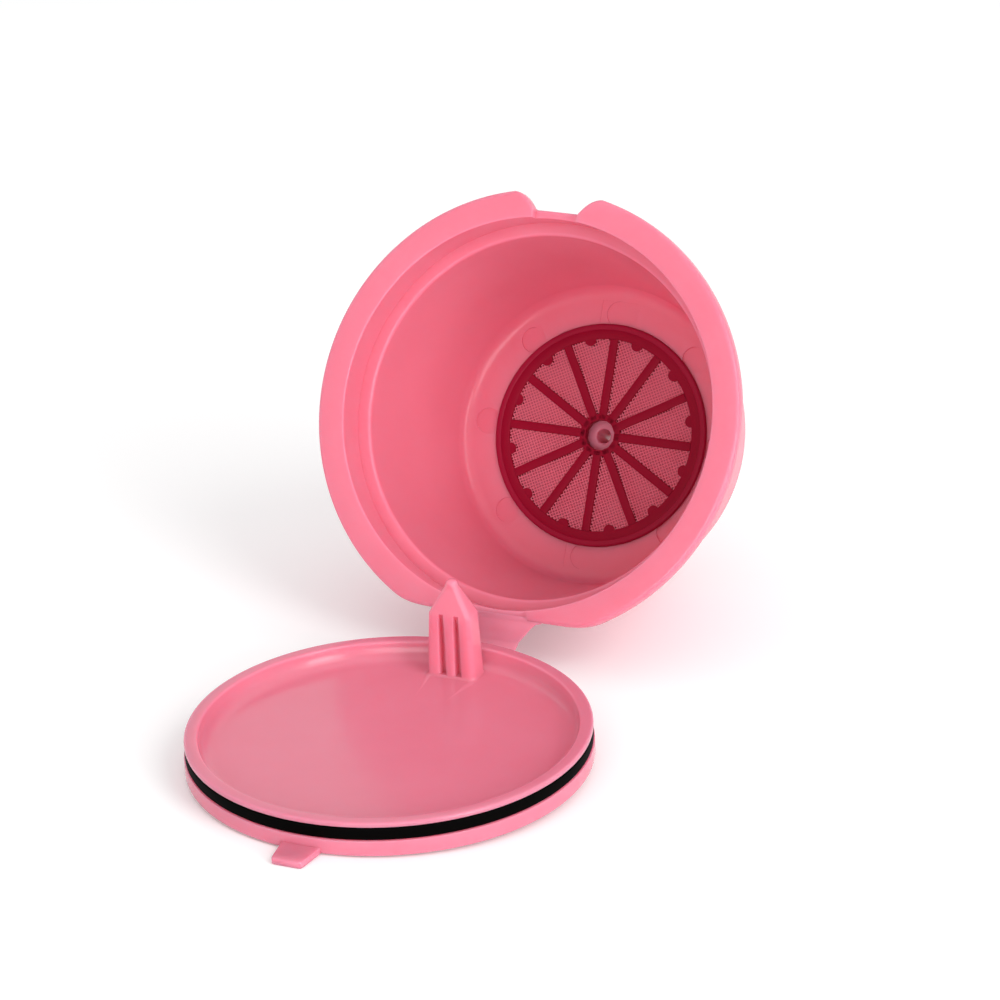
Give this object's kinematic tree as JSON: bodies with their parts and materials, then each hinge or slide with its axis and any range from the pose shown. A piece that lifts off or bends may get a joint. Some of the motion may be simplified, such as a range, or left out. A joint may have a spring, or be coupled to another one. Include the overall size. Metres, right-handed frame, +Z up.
{
  "type": "reusable coffee capsule",
  "caption": "Refillable coffee capsule: a flanged plastic cup with a spoked filter in its floor and a strap-hinged lid with a sealing ring and a water guide post.",
  "frame": {"origin": "middle of the bounding box's bottom, on the ground that the open capsule lies on", "axes": "+Z up, +Y from the lid's tab towards the tipped cup, X along the strap's fold"},
  "size_m": [0.054, 0.1, 0.0522],
  "materials": {
    "pink_plastic": "moulded translucent polypropylene, satin to gloss",
    "crimson_plastic": "moulded plastic seen in the shade of the cup, satin",
    "pink_mesh": "woven plastic filter mesh",
    "black_rubber": "smooth moulded rubber"
  },
  "bodies": {
    "cup": {"capsule_cup": "pink_plastic", "filter_grid": "crimson_plastic", "filter_mesh": "pink_mesh"},
    "lid": {"lid": "pink_plastic", "sealing_ring": "black_rubber"}
  },
  "joints": [
    {"name": "lid_hinge", "type": "hinge", "parent": "cup", "child": "lid", "pos_m": [0, 0.00536, 0.00271], "axis": [-1, 0, 0], "range_deg": [-62, 118]}
  ]
}
